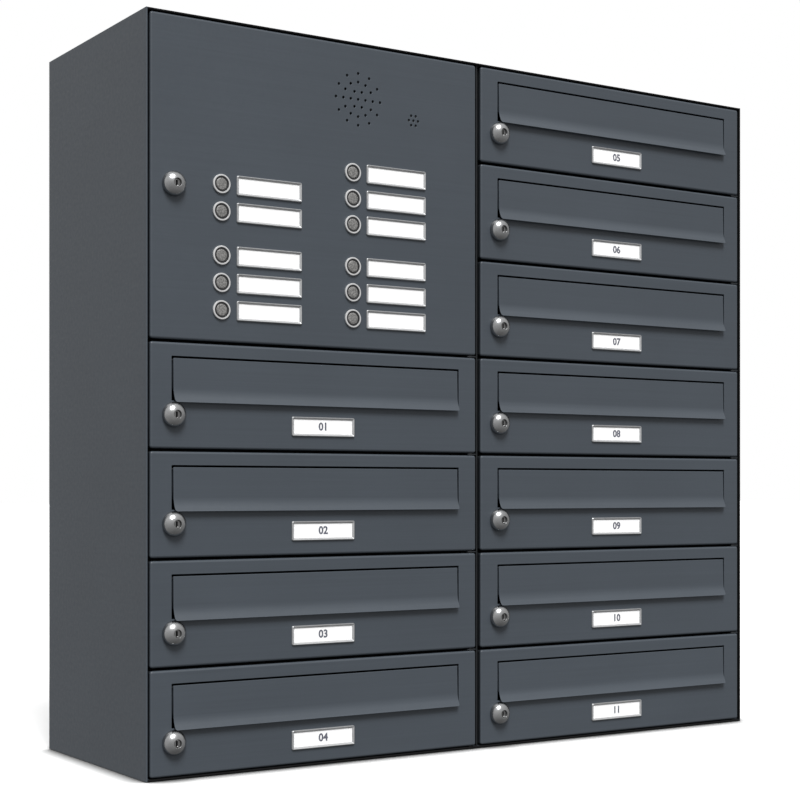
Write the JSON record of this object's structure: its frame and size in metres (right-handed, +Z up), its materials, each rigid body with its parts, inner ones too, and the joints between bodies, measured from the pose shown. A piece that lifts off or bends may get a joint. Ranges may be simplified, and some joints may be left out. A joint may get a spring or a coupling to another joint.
{
  "type": "cluster mailbox unit",
  "caption": "Wall or stand mounted sheet-steel cluster of letter boxes in two columns, with flapped and lockable doors and a hinged bell and speech panel over one column.",
  "frame": {"origin": "centre of the casing's base, on its underside", "axes": "+Z up, +Y to the wall behind, -Y out of the doors, +X to the right as seen from the front"},
  "size_m": [0.816, 0.2705, 0.7734],
  "materials": {
    "painted_steel": "fine satin powder coat, anthracite grey",
    "zinc_steel": "zinc-plated sheet and rod, dull",
    "black_steel": "blackened steel rod and black edge strips",
    "polished_steel": "turned and polished stainless steel",
    "button_grey": "grey cap with a finely grained face",
    "window_plastic": "clear cover with a bright bevelled rim over a white card",
    "black_plastic": "black moulded plastic",
    "circuit_board": "green lacquered board"
  },
  "bodies": {
    "casing": {"casing_side_left": "painted_steel", "casing_side_right": "painted_steel", "casing_top": "painted_steel", "casing_bottom": "painted_steel", "casing_rear": "painted_steel", "column_divider": "painted_steel", "box_shelves": "painted_steel", "hinge_rods": "black_steel", "lock_strikes": "zinc_steel"},
    "bell_panel": {"intercom_panel": "painted_steel", "bell_rings": "polished_steel", "bell_name_windows": "window_plastic", "door_speaker": "black_plastic", "microphone": "black_plastic", "bell_circuit_board": "circuit_board"},
    "door_01": {"door_01": "painted_steel"},
    "flap_01": {"flap_01": "painted_steel"},
    "door_02": {"door_02": "painted_steel"},
    "flap_02": {"flap_02": "painted_steel"},
    "door_03": {"door_03": "painted_steel"},
    "flap_03": {"flap_03": "painted_steel"},
    "door_04": {"door_04": "painted_steel"},
    "flap_04": {"flap_04": "painted_steel"},
    "door_05": {"door_05": "painted_steel"},
    "flap_05": {"flap_05": "painted_steel"},
    "door_06": {"door_06": "painted_steel"},
    "flap_06": {"flap_06": "painted_steel"},
    "door_07": {"door_07": "painted_steel"},
    "flap_07": {"flap_07": "painted_steel"},
    "door_08": {"door_08": "painted_steel"},
    "flap_08": {"flap_08": "painted_steel"},
    "door_09": {"door_09": "painted_steel"},
    "flap_09": {"flap_09": "painted_steel"},
    "door_10": {"door_10": "painted_steel"},
    "flap_10": {"flap_10": "painted_steel"},
    "door_11": {"door_11": "painted_steel"},
    "flap_11": {"flap_11": "painted_steel"},
    "lock_cylinder_01": {"lock_cylinder_01": "polished_steel"},
    "lock_cylinder_02": {"lock_cylinder_02": "polished_steel"},
    "lock_cylinder_03": {"lock_cylinder_03": "polished_steel"},
    "lock_cylinder_04": {"lock_cylinder_04": "polished_steel"},
    "lock_cylinder_05": {"lock_cylinder_05": "polished_steel"},
    "lock_cylinder_06": {"lock_cylinder_06": "polished_steel"},
    "lock_cylinder_07": {"lock_cylinder_07": "polished_steel"},
    "lock_cylinder_08": {"lock_cylinder_08": "polished_steel"},
    "lock_cylinder_09": {"lock_cylinder_09": "polished_steel"},
    "lock_cylinder_10": {"lock_cylinder_10": "polished_steel"},
    "lock_cylinder_11": {"lock_cylinder_11": "polished_steel"},
    "lock_cylinder_12": {"lock_cylinder_12": "polished_steel"},
    "bell_button_01": {"bell_button_01": "button_grey"},
    "bell_button_02": {"bell_button_02": "button_grey"},
    "bell_button_03": {"bell_button_03": "button_grey"},
    "bell_button_04": {"bell_button_04": "button_grey"},
    "bell_button_05": {"bell_button_05": "button_grey"},
    "bell_button_06": {"bell_button_06": "button_grey"},
    "bell_button_07": {"bell_button_07": "button_grey"},
    "bell_button_08": {"bell_button_08": "button_grey"},
    "bell_button_09": {"bell_button_09": "button_grey"},
    "bell_button_10": {"bell_button_10": "button_grey"},
    "bell_button_11": {"bell_button_11": "button_grey"}
  },
  "joints": [
    {"name": "bell_panel_hinge", "type": "hinge", "parent": "casing", "child": "bell_panel", "pos_m": [-0.0085, -0.125, 0.6067], "axis": [0, 0, 1], "range_deg": [0, 95]},
    {"name": "door_01_hinge", "type": "hinge", "parent": "casing", "child": "door_01", "pos_m": [-0.0085, -0.125, 0.3867], "axis": [0, 0, 1], "range_deg": [0, 95]},
    {"name": "flap_01_hinge", "type": "hinge", "parent": "door_01", "child": "flap_01", "pos_m": [-0.2035, -0.1268, 0.4224], "axis": [1, 0, 0], "range_deg": [-80, 0]},
    {"name": "door_02_hinge", "type": "hinge", "parent": "casing", "child": "door_02", "pos_m": [-0.0085, -0.125, 0.2767], "axis": [0, 0, 1], "range_deg": [0, 95]},
    {"name": "flap_02_hinge", "type": "hinge", "parent": "door_02", "child": "flap_02", "pos_m": [-0.2035, -0.1268, 0.3124], "axis": [1, 0, 0], "range_deg": [-80, 0]},
    {"name": "door_03_hinge", "type": "hinge", "parent": "casing", "child": "door_03", "pos_m": [-0.0085, -0.125, 0.1667], "axis": [0, 0, 1], "range_deg": [0, 95]},
    {"name": "flap_03_hinge", "type": "hinge", "parent": "door_03", "child": "flap_03", "pos_m": [-0.2035, -0.1268, 0.2024], "axis": [1, 0, 0], "range_deg": [-80, 0]},
    {"name": "door_04_hinge", "type": "hinge", "parent": "casing", "child": "door_04", "pos_m": [-0.0085, -0.125, 0.0567], "axis": [0, 0, 1], "range_deg": [0, 95]},
    {"name": "flap_04_hinge", "type": "hinge", "parent": "door_04", "child": "flap_04", "pos_m": [-0.2035, -0.1268, 0.0924], "axis": [1, 0, 0], "range_deg": [-80, 0]},
    {"name": "door_05_hinge", "type": "hinge", "parent": "casing", "child": "door_05", "pos_m": [0.3985, -0.125, 0.7167], "axis": [0, 0, 1], "range_deg": [0, 95]},
    {"name": "flap_05_hinge", "type": "hinge", "parent": "door_05", "child": "flap_05", "pos_m": [0.2035, -0.1268, 0.7524], "axis": [1, 0, 0], "range_deg": [-80, 0]},
    {"name": "door_06_hinge", "type": "hinge", "parent": "casing", "child": "door_06", "pos_m": [0.3985, -0.125, 0.6067], "axis": [0, 0, 1], "range_deg": [0, 95]},
    {"name": "flap_06_hinge", "type": "hinge", "parent": "door_06", "child": "flap_06", "pos_m": [0.2035, -0.1268, 0.6424], "axis": [1, 0, 0], "range_deg": [-80, 0]},
    {"name": "door_07_hinge", "type": "hinge", "parent": "casing", "child": "door_07", "pos_m": [0.3985, -0.125, 0.4967], "axis": [0, 0, 1], "range_deg": [0, 95]},
    {"name": "flap_07_hinge", "type": "hinge", "parent": "door_07", "child": "flap_07", "pos_m": [0.2035, -0.1268, 0.5324], "axis": [1, 0, 0], "range_deg": [-80, 0]},
    {"name": "door_08_hinge", "type": "hinge", "parent": "casing", "child": "door_08", "pos_m": [0.3985, -0.125, 0.3867], "axis": [0, 0, 1], "range_deg": [0, 95]},
    {"name": "flap_08_hinge", "type": "hinge", "parent": "door_08", "child": "flap_08", "pos_m": [0.2035, -0.1268, 0.4224], "axis": [1, 0, 0], "range_deg": [-80, 0]},
    {"name": "door_09_hinge", "type": "hinge", "parent": "casing", "child": "door_09", "pos_m": [0.3985, -0.125, 0.2767], "axis": [0, 0, 1], "range_deg": [0, 95]},
    {"name": "flap_09_hinge", "type": "hinge", "parent": "door_09", "child": "flap_09", "pos_m": [0.2035, -0.1268, 0.3124], "axis": [1, 0, 0], "range_deg": [-80, 0]},
    {"name": "door_10_hinge", "type": "hinge", "parent": "casing", "child": "door_10", "pos_m": [0.3985, -0.125, 0.1667], "axis": [0, 0, 1], "range_deg": [0, 95]},
    {"name": "flap_10_hinge", "type": "hinge", "parent": "door_10", "child": "flap_10", "pos_m": [0.2035, -0.1268, 0.2024], "axis": [1, 0, 0], "range_deg": [-80, 0]},
    {"name": "door_11_hinge", "type": "hinge", "parent": "casing", "child": "door_11", "pos_m": [0.3985, -0.125, 0.0567], "axis": [0, 0, 1], "range_deg": [0, 95]},
    {"name": "flap_11_hinge", "type": "hinge", "parent": "door_11", "child": "flap_11", "pos_m": [0.2035, -0.1268, 0.0924], "axis": [1, 0, 0], "range_deg": [-80, 0]},
    {"name": "lock_01_turn", "type": "hinge", "parent": "door_01", "child": "lock_cylinder_01", "pos_m": [-0.378, -0.13, 0.3672], "axis": [0, 1, 0], "range_deg": [0, 90]},
    {"name": "lock_02_turn", "type": "hinge", "parent": "door_02", "child": "lock_cylinder_02", "pos_m": [-0.378, -0.13, 0.2572], "axis": [0, 1, 0], "range_deg": [0, 90]},
    {"name": "lock_03_turn", "type": "hinge", "parent": "door_03", "child": "lock_cylinder_03", "pos_m": [-0.378, -0.13, 0.1472], "axis": [0, 1, 0], "range_deg": [0, 90]},
    {"name": "lock_04_turn", "type": "hinge", "parent": "door_04", "child": "lock_cylinder_04", "pos_m": [-0.378, -0.13, 0.0372], "axis": [0, 1, 0], "range_deg": [0, 90]},
    {"name": "lock_05_turn", "type": "hinge", "parent": "door_05", "child": "lock_cylinder_05", "pos_m": [0.029, -0.13, 0.6972], "axis": [0, 1, 0], "range_deg": [0, 90]},
    {"name": "lock_06_turn", "type": "hinge", "parent": "door_06", "child": "lock_cylinder_06", "pos_m": [0.029, -0.13, 0.5872], "axis": [0, 1, 0], "range_deg": [0, 90]},
    {"name": "lock_07_turn", "type": "hinge", "parent": "door_07", "child": "lock_cylinder_07", "pos_m": [0.029, -0.13, 0.4772], "axis": [0, 1, 0], "range_deg": [0, 90]},
    {"name": "lock_08_turn", "type": "hinge", "parent": "door_08", "child": "lock_cylinder_08", "pos_m": [0.029, -0.13, 0.3672], "axis": [0, 1, 0], "range_deg": [0, 90]},
    {"name": "lock_09_turn", "type": "hinge", "parent": "door_09", "child": "lock_cylinder_09", "pos_m": [0.029, -0.13, 0.2572], "axis": [0, 1, 0], "range_deg": [0, 90]},
    {"name": "lock_10_turn", "type": "hinge", "parent": "door_10", "child": "lock_cylinder_10", "pos_m": [0.029, -0.13, 0.1472], "axis": [0, 1, 0], "range_deg": [0, 90]},
    {"name": "lock_11_turn", "type": "hinge", "parent": "door_11", "child": "lock_cylinder_11", "pos_m": [0.029, -0.13, 0.0372], "axis": [0, 1, 0], "range_deg": [0, 90]},
    {"name": "lock_12_turn", "type": "hinge", "parent": "bell_panel", "child": "lock_cylinder_12", "pos_m": [-0.378, -0.13, 0.5997], "axis": [0, 1, 0], "range_deg": [0, 90]},
    {"name": "bell_button_01_press", "type": "slide", "parent": "bell_panel", "child": "bell_button_01", "axis": [0, 1, 0], "range_m": [0, 0.0015], "stiffness_N_per_m": 600},
    {"name": "bell_button_02_press", "type": "slide", "parent": "bell_panel", "child": "bell_button_02", "axis": [0, 1, 0], "range_m": [0, 0.0015], "stiffness_N_per_m": 600},
    {"name": "bell_button_03_press", "type": "slide", "parent": "bell_panel", "child": "bell_button_03", "axis": [0, 1, 0], "range_m": [0, 0.0015], "stiffness_N_per_m": 600},
    {"name": "bell_button_04_press", "type": "slide", "parent": "bell_panel", "child": "bell_button_04", "axis": [0, 1, 0], "range_m": [0, 0.0015], "stiffness_N_per_m": 600},
    {"name": "bell_button_05_press", "type": "slide", "parent": "bell_panel", "child": "bell_button_05", "axis": [0, 1, 0], "range_m": [0, 0.0015], "stiffness_N_per_m": 600},
    {"name": "bell_button_06_press", "type": "slide", "parent": "bell_panel", "child": "bell_button_06", "axis": [0, 1, 0], "range_m": [0, 0.0015], "stiffness_N_per_m": 600},
    {"name": "bell_button_07_press", "type": "slide", "parent": "bell_panel", "child": "bell_button_07", "axis": [0, 1, 0], "range_m": [0, 0.0015], "stiffness_N_per_m": 600},
    {"name": "bell_button_08_press", "type": "slide", "parent": "bell_panel", "child": "bell_button_08", "axis": [0, 1, 0], "range_m": [0, 0.0015], "stiffness_N_per_m": 600},
    {"name": "bell_button_09_press", "type": "slide", "parent": "bell_panel", "child": "bell_button_09", "axis": [0, 1, 0], "range_m": [0, 0.0015], "stiffness_N_per_m": 600},
    {"name": "bell_button_10_press", "type": "slide", "parent": "bell_panel", "child": "bell_button_10", "axis": [0, 1, 0], "range_m": [0, 0.0015], "stiffness_N_per_m": 600},
    {"name": "bell_button_11_press", "type": "slide", "parent": "bell_panel", "child": "bell_button_11", "axis": [0, 1, 0], "range_m": [0, 0.0015], "stiffness_N_per_m": 600}
  ]
}
